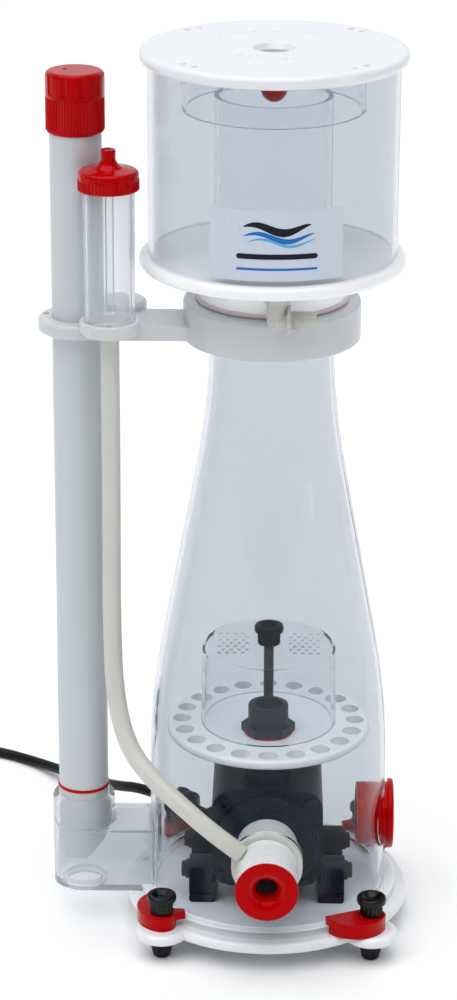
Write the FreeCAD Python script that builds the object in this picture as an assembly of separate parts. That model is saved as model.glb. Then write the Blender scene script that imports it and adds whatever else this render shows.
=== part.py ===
import FreeCAD, Part
import math
import os

from FreeCAD import Vector

# Protein skimmer for a marine aquarium sump.
# Units are millimetres. The origin is on the vessel's axis at the underside of the base plate.
# +Z is up, -Y is the front with the pump intake, -X is the side with the outlet standpipe.

# ---------------------------------------------------------------- driving dimensions
PLATE_R = 92.25            # round base plate
PLATE_T = 8.0
FOOT_H = 13.0              # rubber feet under the base plate
FLOOR = -FOOT_H
VESSEL_R = 76.3            # outside of the vessel's straight lower wall
NECK_R = 38.4              # outside of the vessel's neck
WALL = 3.0
FLANGE_R = 85.0
FLANGE_T = 5.0
PIPE_R = 16.0              # 32 mm standpipe
PIPE_X = -120.0
CUP_R = 76.5
CUP_FLOOR_Z = 430.0
LID_Z = 556.6
LID_R = 81.4
DISC_T = 8.0               # thickness of the cup floor and of the lid
RISER_R = 36.0
RISER_TOP = 536.0
PORT_Z = 57.0              # height of the pump's axis and of both side ports
INTAKE_R = 19.3
HOSE_R = 5.9
CORD_R = 3.5
RUN = 0.06                 # radial clearance of a running fit
GAP = 0.3                  # clearance between moving neighbours
GLUE = 0.05                # clearance of a glued or pushed joint inside one body

PLATE_TOP = PLATE_T
FLANGE_TOP = PLATE_TOP + FLANGE_T
CLAMP_RING = 67.0          # clamps, feet and lobes stand at (+-67, +-67)
CORNERS = [(-1, -1), (1, -1), (1, 1), (-1, 1)]

X_AXIS = Vector(1, 0, 0)
Y_AXIS = Vector(0, 1, 0)
Z_AXIS = Vector(0, 0, 1)


# ---------------------------------------------------------------- building blocks
def outline_edges(corners):
    """Straight lines through corners (u, v) or (u, v, radius), each radius a tangent arc."""
    count = len(corners)
    spots = [Vector(c[0], 0, c[1]) for c in corners]
    radii = [c[2] if len(c) > 2 else 0.0 for c in corners]
    ends = []
    arcs = []
    for i in range(count):
        here = spots[i]
        if radii[i] == 0.0:
            ends.append((here, here))
            arcs.append(None)
            continue
        back = (spots[i - 1] - here).normalize()
        ahead = (spots[(i + 1) % count] - here).normalize()
        half = back.getAngle(ahead) / 2
        reach = radii[i] / math.tan(half)
        start = here + back * reach
        end = here + ahead * reach
        inward = (back + ahead).normalize()
        middle = here + inward * (radii[i] / math.sin(half) - radii[i])
        ends.append((start, end))
        arcs.append(Part.Arc(start, middle, end).toShape())
    edges = []
    for i in range(count):
        if arcs[i]:
            edges.append(arcs[i])
        a = ends[i][1]
        b = ends[(i + 1) % count][0]
        if a.distanceToPoint(b) > 1e-6:
            edges.append(Part.makeLine(a, b))
    return edges


def turned(corners, x=0.0, y=0.0):
    """A solid of revolution about a vertical axis, from corners (radius, height[, rounding])."""
    face = Part.Face(Part.Wire(outline_edges(corners)))
    solid = face.revolve(Vector(0, 0, 0), Z_AXIS, 360)
    solid.translate(Vector(x, y, 0))
    return solid


def disc(r, z0, z1, x=0.0, y=0.0):
    return Part.makeCylinder(r, z1 - z0, Vector(x, y, z0))


def ring(r_out, r_in, z0, z1, x=0.0, y=0.0):
    return disc(r_out, z0, z1, x, y).cut(disc(r_in, z0 - 1, z1 + 1, x, y))


def rod(start, direction, length, r):
    return Part.makeCylinder(r, length, start, direction)


def box(x0, x1, y0, y1, z0, z1):
    return Part.makeBox(x1 - x0, y1 - y0, z1 - z0, Vector(x0, y0, z0))


def laid(shape, direction, place):
    """Turn a shape made along +Z so that it runs along direction, from place."""
    turned_shape = shape.copy()
    spin = FreeCAD.Rotation(Z_AXIS, direction)
    turned_shape.Placement = FreeCAD.Placement(place, spin).multiply(turned_shape.Placement)
    return turned_shape


def ribbed(r_out, depth, count, z0, z1):
    """A prism with many fine pointed ribs round it."""
    points = []
    for i in range(2 * count):
        r = r_out if i % 2 == 0 else r_out - depth
        angle = math.pi * i / count
        points.append(Vector(r * math.cos(angle), r * math.sin(angle), z0))
    face = Part.Face(Part.makePolygon(points + [points[0]]))
    return face.extrude(Vector(0, 0, z1 - z0))


def scalloped(corners, count, notch_r, ring_r, z0, z1):
    """A turned knob with round finger notches cut down its side."""
    knob = turned(corners)
    notches = []
    for i in range(count):
        angle = 2 * math.pi * i / count
        notches.append(disc(notch_r, z0, z1, ring_r * math.cos(angle), ring_r * math.sin(angle)))
    return knob.cut(notches)


def moved(shape, x=0.0, y=0.0, z=0.0):
    copy = shape.copy()
    copy.translate(Vector(x, y, z))
    return copy


def edges_at(shape, test):
    return [e for e in shape.Edges if test(e)]


def rounded_block(x0, x1, y0, y1, z0, z1, radius, axis):
    """A box with its four edges along axis rounded."""
    block = box(x0, x1, y0, y1, z0, z1)

    def along(edge):
        if len(edge.Vertexes) < 2:
            return False
        span = edge.Vertexes[1].Point - edge.Vertexes[0].Point
        return abs(abs(span.normalize().dot(axis)) - 1) < 1e-6

    return block.makeFillet(radius, edges_at(block, along))


NODES = {}


# ---------------------------------------------------------------- base
LOBE_R = 17.0
SEAL_R = 80.0
SEAL_W = 3.0
SEAL_H = 2.0
SCREW_R = 2.0
FOOT_TOP_R = 8.0
PAD_R = 70.0               # raised flat pad in the middle of the plate's underside
PAD_H = 0.6
FOOT_TIP_R = 5.4


def clamp_spots():
    return [(CLAMP_RING * sx, CLAMP_RING * sy) for sx, sy in CORNERS]


def make_base_plate():
    edge = PLATE_T * 0.42
    corners = [
        (0, 0),
        (PAD_R, 0),
        (PAD_R, PAD_H),
        (PLATE_R, PAD_H, edge),
        (PLATE_R, PLATE_TOP, edge),
        (0, PLATE_TOP),
    ]
    plate = turned(corners)
    lobe = [(0, PAD_H), (LOBE_R, PAD_H, edge), (LOBE_R, PLATE_TOP, edge), (0, PLATE_TOP)]
    lobes = [turned(lobe, x, y) for x, y in clamp_spots()]
    plate = plate.fuse(lobes).removeSplitter()
    groove = ring(SEAL_R + SEAL_W / 2, SEAL_R - SEAL_W / 2, PLATE_TOP - SEAL_H, PLATE_TOP + 1)
    holes = [disc(SCREW_R + RUN, -1, PLATE_TOP + 1, x, y) for x, y in clamp_spots()]
    return plate.cut([groove] + holes)


def make_feet():
    foot = [
        (0, FLOOR),
        (FOOT_TIP_R, FLOOR, 2.5),
        (FOOT_TOP_R, -1.5),
        (FOOT_TOP_R, PAD_H),
        (0, PAD_H),
    ]
    return Part.makeCompound([turned(foot, x, y) for x, y in clamp_spots()])


NODES["base_plate"] = make_base_plate()
NODES["rubber_feet"] = make_feet()
NODES["base_seal"] = ring(
    SEAL_R + SEAL_W / 2 - GLUE, SEAL_R - SEAL_W / 2 + GLUE, PLATE_TOP - SEAL_H, PLATE_TOP
)


# ---------------------------------------------------------------- clear vessel
VESSEL_LOW = PLATE_TOP + GLUE
SHOULDER_Z = 98.0          # where the straight wall starts to lean in
CONE_R1 = 65.0             # two points on the cone's straight flank
CONE_Z1 = 201.0
CONE_R2 = 50.7
CONE_Z2 = 278.0
NECK_TOP = 392.0
NECK_REACH = 45.0          # how far the flare into the neck runs each way from its corner
DUCT_HALF = 20.0           # outlet box: half width and top
DUCT_TOP = 52.0
SOCKET_R = 20.0
SOCKET_TOP = 71.0
OUTLET_R = 12.0            # hole that the water leaves by, in the outlet box's floor
OUTLET_LIP = 3.0
PLUG_R = 20.5
GROMMET_R = 22.6


def cone_corner(radius):
    """Height at which the cone's flank, carried on, reaches a radius."""
    lean = (CONE_R2 - CONE_R1) / (CONE_Z2 - CONE_Z1)
    return CONE_Z1 + (radius - CONE_R1) / lean


def vessel_skin(inset, z_low, z_high):
    """The vessel's outer shape, or its hollow when inset by the wall thickness."""
    low_r = VESSEL_R - inset
    neck_r = NECK_R - inset
    angle = math.atan((CONE_R1 - CONE_R2) / (CONE_Z2 - CONE_Z1))
    low_corner = cone_corner(VESSEL_R)
    neck_corner = cone_corner(NECK_R)
    low_arc = (low_corner - SHOULDER_Z) / math.tan(angle / 2)
    neck_arc = NECK_REACH / math.tan(angle / 2)
    return turned([
        (0, z_low),
        (low_r, z_low),
        (low_r, low_corner, low_arc),
        (neck_r, neck_corner, neck_arc),
        (neck_r, z_high),
        (0, z_high),
    ])


def outlet_box(inset):
    """The outlet box from the body to its round end; inset by the wall it is the water's way."""
    half = DUCT_HALF - inset
    low = VESSEL_LOW + inset
    high = DUCT_TOP - inset
    body = box(PIPE_X, -60.0, -half, half, low, high)
    return body.fuse(disc(half, low, high, PIPE_X, 0))


def make_vessel():
    outside = vessel_skin(0.0, VESSEL_LOW, NECK_TOP)
    flange = turned([
        (0, VESSEL_LOW),
        (FLANGE_R, VESSEL_LOW, 0.8),
        (FLANGE_R, FLANGE_TOP, 2.0),
        (VESSEL_R, FLANGE_TOP, 2.5),
        (VESSEL_R, FLANGE_TOP + 6),
        (0, FLANGE_TOP + 6),
    ])
    room_for_box = outlet_box(-GLUE).cut(outside)
    cuts = [
        vessel_skin(WALL, PLATE_TOP - 1, NECK_TOP + 1),
        room_for_box,
        outlet_box(WALL),
        rod(Vector(50, 0, PORT_Z), X_AXIS, 40, PLUG_R + RUN),
        rod(Vector(0, -50, PORT_Z), Y_AXIS * -1, 40, GROMMET_R + GLUE),
        gland_hole(),
    ]
    return outside.fuse(flange).cut(cuts)


def make_outlet_box():
    """Clear box glued to the vessel's wall, with the round socket that the standpipe stands in."""
    socket = turned([
        (0, VESSEL_LOW),
        (SOCKET_R, VESSEL_LOW),
        (SOCKET_R, SOCKET_TOP, 2.4),
        (0, SOCKET_TOP),
    ], PIPE_X, 0)
    lip = disc(OUTLET_R + 2.5, PLATE_TOP - OUTLET_LIP, PLATE_TOP + 1, PIPE_X, 0)
    solid = outlet_box(0.0).fuse([socket, lip])
    cuts = [
        vessel_skin(-GLUE, PLATE_TOP - 1, NECK_TOP + 1),
        outlet_box(WALL),
        disc(PIPE_R + RUN, DUCT_TOP - WALL - 1, SOCKET_TOP + 1, PIPE_X, 0),
        disc(OUTLET_R, PLATE_TOP - OUTLET_LIP - 1, PLATE_TOP + WALL + 1, PIPE_X, 0),
    ]
    return solid.cut(cuts)


GLAND_ANGLE = math.radians(140)
GLAND_Z = 38.0
GLAND_DIR = Vector(math.cos(GLAND_ANGLE), math.sin(GLAND_ANGLE), 0)
GLAND_WALL = GLAND_DIR * VESSEL_R + Vector(0, 0, GLAND_Z)
GLAND_R = 8.0


MOTOR_GLAND_R = 6.5
MOTOR_GLAND_AT = 42.0      # distances from the vessel's axis along the gland's direction
MOTOR_GLAND_END = 52.0


def at_gland(distance):
    return GLAND_DIR * distance + Vector(0, 0, GLAND_Z)


def gland_hole():
    return rod(GLAND_WALL - GLAND_DIR * 12, GLAND_DIR, 24, GLAND_R + GLUE)


NODES["vessel"] = make_vessel()
NODES["outlet_box"] = make_outlet_box()


# ---------------------------------------------------------------- cam clamps and their screws
CAM_R = 9.3                # round end about the screw, just clear of the flange's rim
CAM_TOP = 18.0
CAM_LOW = PLATE_TOP + 0.2
CAM_UNDER = FLANGE_TOP + GAP
NOSE_LEN = 29.5            # the nose that reaches over the flange
NOSE_TURN = 54.0           # degrees from the direction of the vessel's axis to the closed nose
LUG_LEN = 15.0             # short second lug, square to the nose


def polar(radius, degrees, z):
    angle = math.radians(degrees)
    return Vector(radius * math.cos(angle), radius * math.sin(angle), z)


def cam_plan(z0, z1):
    """The comma-shaped plan with its nose along +X, as a slab."""
    tip_out = Vector(NOSE_LEN, 1.0, z0)
    tip_in = Vector(NOSE_LEN, -1.6, z0)
    heel = polar(CAM_R, 160, z0)
    side = polar(CAM_R, -90, z0)
    edges = [
        Part.Arc(tip_out, polar(14.6, 72, z0), heel).toShape(),
        Part.Arc(heel, polar(CAM_R, 215, z0), side).toShape(),
        Part.makeLine(side, tip_in),
        Part.makeLine(tip_in, tip_out),
    ]
    return Part.Face(Part.Wire(edges)).extrude(Vector(0, 0, z1 - z0))


def cam_blank():
    """One cam about its screw, with the nose along +X: full height outside the flange's rim."""
    corner = math.hypot(CLAMP_RING, CLAMP_RING)
    rim = polar(corner, -NOSE_TURN, 0)
    lower = cam_plan(CAM_LOW, CAM_UNDER).cut(disc(FLANGE_R + GAP, 0, CAM_UNDER, rim.x, rim.y))
    upper = cam_plan(CAM_UNDER, CAM_TOP)
    lug_outline = Part.makePolygon([
        Vector(-6.0, -3.0, CAM_UNDER),
        Vector(-2.6, -LUG_LEN, CAM_UNDER),
        Vector(2.6, -LUG_LEN, CAM_UNDER),
        Vector(6.0, -3.0, CAM_UNDER),
        Vector(-6.0, -3.0, CAM_UNDER),
    ])
    lug = Part.Face(lug_outline).extrude(Vector(0, 0, CAM_TOP - CAM_UNDER))
    cam = upper.fuse([lug, lower]).removeSplitter()
    top_rim = edges_at(cam, lambda e: e.BoundBox.ZMin > CAM_TOP - 0.01 and e.Length > 1)
    cam = cam.makeFillet(0.7, top_rim)
    return cam.cut(disc(SCREW_R + RUN, CAM_LOW - 1, CAM_TOP + 1))


KNOB_GAP = 0.2


def thumb_knob(z):
    """The moulded head shared by every thumbscrew: fluted collar, dished round top."""
    collar = ribbed(7.25, 0.7, 16, z, z + 7.2)
    head = turned([
        (0, z + 7.0),
        (7.0, z + 7.0),
        (9.35, z + 8.6, 0.6),
        (9.35, z + 12.8, 1.4),
        (6.2, z + 12.8, 0.8),
        (3.2, z + 10.4, 1.2),
        (0, z + 10.4),
    ])
    return collar.fuse(head)


CAM = cam_blank()
for number, (cx, cy) in enumerate(clamp_spots(), start=1):
    inward = math.degrees(math.atan2(-cy, -cx))
    cam = CAM.copy()
    cam.rotate(Vector(0, 0, 0), Z_AXIS, inward + NOSE_TURN)
    NODES["cam_clamp_%d" % number] = moved(cam, cx, cy)
    screw = thumb_knob(CAM_TOP + KNOB_GAP).fuse(disc(SCREW_R, PAD_H + GAP, CAM_TOP + 1))
    NODES["clamp_screw_%d" % number] = moved(screw, cx, cy)


# ---------------------------------------------------------------- outlet standpipe
PIPE_LOW = 29.0
PIPE_TOP = 530.0
PIPE_BORE = 14.0
SLEEVE_R = 18.0
SLEEVE_Z0 = 512.0
SLEEVE_Z1 = 534.0
KNOB_Z1 = 550.0
THROTTLE_HIGH = 16.0       # how far up the slanting cut runs on the side facing the body
PIPE_RING_Z = 76.0         # red O-ring in a shallow groove of the pipe
PIPE_RING_H = 2.2
PIPE_RING_DEPTH = 0.7


def make_outlet_pipe():
    pipe = ring(PIPE_R, PIPE_BORE, PIPE_LOW, PIPE_TOP, PIPE_X, 0)
    low = PIPE_X + 1.0
    high = PIPE_X + PIPE_R + 2
    wedge = Part.makePolygon([
        Vector(low, 0, PIPE_LOW - 1),
        Vector(high, 0, PIPE_LOW - 1),
        Vector(high, 0, PIPE_LOW + THROTTLE_HIGH),
        Vector(low, 0, PIPE_LOW - 1),
    ])
    cutter = Part.Face(wedge).extrude(Vector(0, 3 * PIPE_R, 0))
    cutter.translate(Vector(0, -1.5 * PIPE_R, 0))
    groove = ring(
        PIPE_R + 1, PIPE_R - PIPE_RING_DEPTH, PIPE_RING_Z, PIPE_RING_Z + PIPE_RING_H, PIPE_X, 0
    )
    return pipe.cut([cutter, groove])


def make_cap_sleeve():
    body = ribbed(SLEEVE_R, 0.45, 60, SLEEVE_Z0 + 2.0, SLEEVE_Z1)
    hem = turned([
        (0, SLEEVE_Z0),
        (SLEEVE_R - 0.5, SLEEVE_Z0, 1.6),
        (SLEEVE_R - 0.5, SLEEVE_Z0 + 2.5),
        (0, SLEEVE_Z0 + 2.5),
    ])
    sleeve = body.fuse(hem).cut(disc(PIPE_R + GLUE, SLEEVE_Z0 - 1, SLEEVE_Z1 + 1))
    return moved(sleeve, PIPE_X, 0)


def make_cap_knob():
    profile = [
        (0, SLEEVE_Z1),
        (SLEEVE_R, SLEEVE_Z1, 0.6),
        (SLEEVE_R, KNOB_Z1, 3.2),
        (0, KNOB_Z1),
    ]
    knob = scalloped(profile, 10, 3.2, SLEEVE_R + 2.1, SLEEVE_Z1 + 2.5, KNOB_Z1 + 1)
    hollow = disc(PIPE_R - 2.0, SLEEVE_Z1 - 1, KNOB_Z1 - 4)
    vent = disc(1.6, SLEEVE_Z1, KNOB_Z1 + 1, -6.0, 2.0)
    return moved(knob.cut([hollow, vent]), PIPE_X, 0)


NODES["outlet_pipe"] = make_outlet_pipe()
NODES["pipe_cap_sleeve"] = make_cap_sleeve()
NODES["pipe_cap_knob"] = make_cap_knob()
ring_low = PIPE_RING_Z + GLUE
ring_high = PIPE_RING_Z + PIPE_RING_H - GLUE
NODES["pipe_seal_ring"] = turned([
    (PIPE_R - PIPE_RING_DEPTH + GLUE, ring_low),
    (PIPE_R + 0.8, ring_low, 0.8),
    (PIPE_R + 0.8, ring_high, 0.8),
    (PIPE_R - PIPE_RING_DEPTH + GLUE, ring_high),
], PIPE_X, 0)


# ---------------------------------------------------------------- neck collar with its arm
COLLAR_R = 55.0
COLLAR_Z0 = 384.0
COLLAR_Z1 = 408.5
SPIGOT_R = 46.0
ARM_Z0 = 387.0
ARM_Z1 = 395.7
ARM_Y0 = -23.5
ARM_Y1 = 15.0
EYE_R = 24.5
SILENCER_X = -98.8
SILENCER_Y = -28.0
HOLDER_R = 18.5
HOLDER_Z0 = 393.5
HOLDER_Z1 = 402.0
SILENCER_R = 15.8
LOBE_X = -94.0
LOBE_Y = 20.0
LOBE_TOP = 401.0


def make_neck_bracket():
    collar = turned([
        (0, COLLAR_Z0),
        (COLLAR_R, COLLAR_Z0, 1.2),
        (COLLAR_R, COLLAR_Z1, 2.5),
        (0, COLLAR_Z1),
    ])
    arm = box(PIPE_X, -40, ARM_Y0, ARM_Y1, ARM_Z0, ARM_Z1)
    eye = turned([
        (0, ARM_Z0),
        (EYE_R, ARM_Z0, 2.0),
        (EYE_R, ARM_Z1, 2.0),
        (0, ARM_Z1),
    ], PIPE_X, 0)
    rear_lobe = turned([
        (0, ARM_Z0),
        (16.0, ARM_Z0, 1.5),
        (16.0, LOBE_TOP, 3.0),
        (0, LOBE_TOP),
    ], LOBE_X, LOBE_Y)
    holder = turned([
        (0, HOLDER_Z0),
        (HOLDER_R, HOLDER_Z0, 2.0),
        (HOLDER_R, HOLDER_Z1, 1.2),
        (0, HOLDER_Z1),
    ], SILENCER_X, SILENCER_Y)
    solid = collar.fuse([arm, eye, rear_lobe, holder])
    return solid.cut([
        disc(NECK_R + 3 * GLUE, COLLAR_Z0 - 1, NECK_TOP + 0.5),
        disc(SPIGOT_R + RUN, NECK_TOP + 0.5, COLLAR_Z1 + 1),
        disc(PIPE_R + RUN, ARM_Z0 - 1, LOBE_TOP + 1, PIPE_X, 0),
        disc(SILENCER_R + GLUE, HOLDER_Z0 + 2, HOLDER_Z1 + 1, SILENCER_X, SILENCER_Y),
        disc(BARB_R + GLUE, HOLDER_Z0 - 1, HOLDER_Z0 + 3, SILENCER_X, SILENCER_Y),
        disc(2.0, ARM_Z0 - 1, ARM_Z1 + 1, PIPE_X - 19.5, 4.0),
        disc(HOSE_R + GAP, ARM_Z0 - 1, HOLDER_Z0, SILENCER_X, SILENCER_Y),
    ])


# ---------------------------------------------------------------- air silencer
BARB_R = 4.0
SILENCER_TOP = 490.0
CAP_LOW = 484.0
CAP_HIGH = 495.5
CAP_R = 18.7
SPOUT_TOP = 508.5
SPOUT_R = 4.5
AIR_TUBE_R = 3.0
AIR_TUBE_LOW = 406.0


def make_silencer_cap():
    rim = ribbed(CAP_R, 0.6, 48, CAP_LOW, CAP_LOW + 6.5)
    dome = scalloped([
        (0, CAP_LOW + 6.0),
        (CAP_R - 0.4, CAP_LOW + 6.0, 0.5),
        (CAP_R - 0.4, CAP_HIGH, 2.6),
        (9.0, CAP_HIGH + 1.6, 3.0),
        (5.8, CAP_HIGH + 4.0, 1.5),
        (SPOUT_R, CAP_HIGH + 6.5),
        (SPOUT_R, SPOUT_TOP, 0.6),
        (0, SPOUT_TOP),
    ], 10, 2.6, CAP_R + 1.4, CAP_LOW + 7.5, CAP_HIGH + 4)
    cap = rim.fuse(dome)
    cap = cap.cut([
        disc(SILENCER_R + RUN, CAP_LOW - 1, SILENCER_TOP + GAP),
        disc(AIR_TUBE_R + GLUE, SILENCER_TOP, CAP_HIGH),
        disc(2.2, CAP_HIGH - 1, SPOUT_TOP + 1),
    ])
    return moved(cap, SILENCER_X, SILENCER_Y)


def make_silencer_barb():
    """Hose nipple under the silencer: a shoulder and two rings that the hose is pushed over."""
    profile = [
        (0, HOLDER_Z0 - 14),
        (3.0, HOLDER_Z0 - 14),
        (BARB_R, HOLDER_Z0 - 11),
        (3.2, HOLDER_Z0 - 11),
        (BARB_R, HOLDER_Z0 - 7),
        (3.2, HOLDER_Z0 - 7),
        (BARB_R, HOLDER_Z0 - 3),
        (BARB_R, HOLDER_Z0 + 2),
        (7.0, HOLDER_Z0 + 2),
        (7.0, HOLDER_Z0 + 4),
        (0, HOLDER_Z0 + 4),
    ]
    barb = turned(profile).cut(disc(2.0, HOLDER_Z0 - 20, HOLDER_Z0 + 5))
    return moved(barb, SILENCER_X, SILENCER_Y)


NODES["neck_bracket"] = make_neck_bracket()
NODES["silencer_tube"] = ring(
    SILENCER_R, SILENCER_R - 2.4, HOLDER_Z0 + 2 + GLUE, SILENCER_TOP, SILENCER_X, SILENCER_Y
)
NODES["silencer_cap"] = make_silencer_cap()
NODES["silencer_air_tube"] = ring(
    AIR_TUBE_R, AIR_TUBE_R - 1, AIR_TUBE_LOW, CAP_HIGH - 1, SILENCER_X, SILENCER_Y
)
NODES["silencer_barb"] = make_silencer_barb()


# ---------------------------------------------------------------- collection cup
DRAIN_X = 3.0
DRAIN_Y = -63.0
DRAIN_AXIS_Z = 413.5
STUB_R = 4.2
UNION_LOW = 424.2
ORING_W = 3.0


def make_cup_floor():
    floor = turned([
        (RISER_R + GLUE, NECK_TOP + 2),
        (SPIGOT_R, NECK_TOP + 2, 1.0),
        (SPIGOT_R, CUP_FLOOR_Z, 3.0),
        (CUP_R + 5.3, CUP_FLOOR_Z, 3.6),
        (CUP_R + 5.3, CUP_FLOOR_Z + DISC_T, 3.6),
        (RISER_R + GLUE, CUP_FLOOR_Z + DISC_T),
    ])
    grooves = [
        ring(SPIGOT_R + 1, SPIGOT_R - 2, z, z + ORING_W)
        for z in (NECK_TOP + 6, COLLAR_Z1 + 0.1)
    ]
    return floor.cut(grooves + [disc(3.0, CUP_FLOOR_Z - 1, CUP_FLOOR_Z + DISC_T + 1, DRAIN_X, DRAIN_Y)])


def make_cup_o_rings():
    inner = ring(SPIGOT_R, SPIGOT_R - 2 + GLUE, NECK_TOP + 6 + GLUE, NECK_TOP + 6 + ORING_W - GLUE)
    low = COLLAR_Z1 + 0.1 + GLUE
    high = COLLAR_Z1 + 0.1 + ORING_W - GLUE
    outer = turned([
        (SPIGOT_R - 2 + GLUE, low),
        (SPIGOT_R + 1.4, low, 1.2),
        (SPIGOT_R + 1.4, high, 1.2),
        (SPIGOT_R - 2 + GLUE, high),
    ])
    return Part.makeCompound([inner, outer])


LABEL_Z0 = 441.5
LABEL_Z1 = 484.5
LABEL_HALF = 30.8          # half of the angle that the label covers
LABEL_TURN = 2.0


def make_label():
    face = Part.Face(Part.makePolygon([
        Vector(CUP_R + 0.02, 0, LABEL_Z0),
        Vector(CUP_R + 0.27, 0, LABEL_Z0),
        Vector(CUP_R + 0.27, 0, LABEL_Z1),
        Vector(CUP_R + 0.02, 0, LABEL_Z1),
        Vector(CUP_R + 0.02, 0, LABEL_Z0),
    ]))
    label = face.revolve(Vector(0, 0, 0), Z_AXIS, 2 * LABEL_HALF)
    label.rotate(Vector(0, 0, 0), Z_AXIS, -90 + LABEL_TURN - LABEL_HALF)
    return label


NODES["cup_floor"] = make_cup_floor()
NODES["cup_o_rings"] = make_cup_o_rings()
NODES["cup_wall"] = ring(CUP_R, CUP_R - WALL, CUP_FLOOR_Z + DISC_T + GLUE, LID_Z - GAP)
NODES["riser_tube"] = ring(RISER_R, RISER_R - WALL, NECK_TOP + 2, RISER_TOP)
NODES["cup_label"] = make_label()


# ---------------------------------------------------------------- drain elbow under the cup
NIPPLE_R = 5.4
NIPPLE_X1 = 26.5


def make_drain_union():
    """Hexagonal union fixed in the cup's floor; its stub is what the elbow turns on."""
    nut = Part.makePolygon([
        Vector(8.2 * math.cos(math.radians(60 * i)), 8.2 * math.sin(math.radians(60 * i)), UNION_LOW)
        for i in range(7)
    ])
    body = Part.Face(nut).extrude(Vector(0, 0, CUP_FLOOR_Z - UNION_LOW))
    stub = disc(STUB_R, DRAIN_AXIS_Z + 4, UNION_LOW + 1)
    bore = disc(3.0, DRAIN_AXIS_Z, CUP_FLOOR_Z + 1)
    return moved(body.fuse(stub).cut(bore), DRAIN_X, DRAIN_Y)


def make_drain_elbow():
    upright = disc(6.3, DRAIN_AXIS_Z, UNION_LOW - 0.3)
    knee = Part.makeSphere(6.3, Vector(0, 0, DRAIN_AXIS_Z))
    start = Vector(0, 0, DRAIN_AXIS_Z)
    arm = rod(start, X_AXIS, 8.0, 6.3)
    disc_flange = rod(start + X_AXIS * 6.0, X_AXIS, 2.2, 8.9)
    nipple = rod(start, X_AXIS, NIPPLE_X1 - DRAIN_X, NIPPLE_R)
    threads = [
        rod(start + X_AXIS * (10.4 + 2.4 * i), X_AXIS, 1.2, NIPPLE_R + 0.5)
        for i in range(3)
    ]
    elbow = upright.fuse([knee, arm, disc_flange, nipple] + threads)
    elbow = elbow.cut([
        disc(STUB_R + RUN, DRAIN_AXIS_Z + 3.7, UNION_LOW + 1),
        disc(3.0, DRAIN_AXIS_Z, DRAIN_AXIS_Z + 5),
        rod(start, X_AXIS, 40, 3.0),
    ])
    return moved(elbow, DRAIN_X, DRAIN_Y)


NODES["drain_union"] = make_drain_union()
NODES["drain_elbow"] = make_drain_elbow()


# ---------------------------------------------------------------- lid
SKIRT_R = 55.7
SKIRT_LOW = 528.0
VENT_R = 10.5
VENT_TOP_R = 13.0
LID_TOP = LID_Z + DISC_T
BUMP_RING = 71.0


def make_lid():
    lid = turned([
        (VENT_R, LID_Z),
        (LID_R, LID_Z, 3.6),
        (LID_R, LID_TOP, 3.6),
        (VENT_TOP_R, LID_TOP, 0.6),
        (VENT_R, LID_TOP - 3.5),
    ])
    tongue = ring(CUP_R - WALL - GAP, CUP_R - WALL - GAP - 3, LID_Z - 1.2, LID_Z + 1)
    bumps = []
    for quarter in range(4):
        for offset in (-4.0, 4.0):
            angle = math.radians(90 * quarter + 45 + offset)
            bump = disc(2.0, LID_TOP - 1, LID_TOP + 0.7)
            bumps.append(moved(bump, BUMP_RING * math.cos(angle), BUMP_RING * math.sin(angle)))
    return lid.fuse([tongue] + bumps)


def make_vent_plug():
    """Splash guard hung in the vent hole by three fins, with a round bottom."""
    guard = turned([
        (0, 531.5),
        (8.0, 531.5, 7.9),
        (8.0, 553.0, 0.8),
        (6.2, 553.0, 0.8),
        (6.2, 537.0, 2.0),
        (0, 537.0),
    ])
    fin = box(6.4, VENT_R - GLUE, -0.8, 0.8, 548.0, LID_Z + 3)
    fins = []
    for i in range(3):
        turned_fin = fin.copy()
        turned_fin.rotate(Vector(0, 0, 0), Z_AXIS, 120 * i + 30)
        fins.append(turned_fin)
    return guard.fuse(fins)


NODES["lid"] = make_lid()
NODES["lid_skirt"] = ring(SKIRT_R, SKIRT_R - 2.5, SKIRT_LOW, LID_Z - GLUE)
NODES["vent_plug"] = make_vent_plug()


# ---------------------------------------------------------------- bubble plate and diffuser
BUBBLE_R = 65.3
BUBBLE_Z0 = 117.5
BUBBLE_Z1 = 123.8
HOLE_R = 6.0
HOLE_RING = 56.0
HOLES = 20
DOME_R = 43.5
DOME_TOP = 176.9
LONG_SCREW_R = 3.2
PUMP_UP_Y = -19.0          # axis of the pump's upward outlet
PUMP_UP_R = 12.8
PUMP_UP_BORE = 9.2
UPPIPE_TOP = 143.3
NUT_TOP = BUBBLE_Z1 + 6.5


def make_bubble_plate():
    plate = turned([
        (0, BUBBLE_Z0),
        (BUBBLE_R, BUBBLE_Z0, 2.6),
        (BUBBLE_R, BUBBLE_Z1, 2.6),
        (0, BUBBLE_Z1),
    ])
    cuts = [
        disc(PUMP_UP_R + GLUE, BUBBLE_Z0 - 1, BUBBLE_Z1 + 1, 0, PUMP_UP_Y),
        disc(LONG_SCREW_R + RUN, BUBBLE_Z0 - 1, BUBBLE_Z1 + 1),
    ]
    for i in range(HOLES):
        angle = math.radians(-90 + 360 / HOLES * i)
        x = HOLE_RING * math.cos(angle)
        y = HOLE_RING * math.sin(angle)
        cuts.append(disc(HOLE_R, BUBBLE_Z0 - 1, BUBBLE_Z1 + 1, x, y))
    return plate.cut(cuts)


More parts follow.
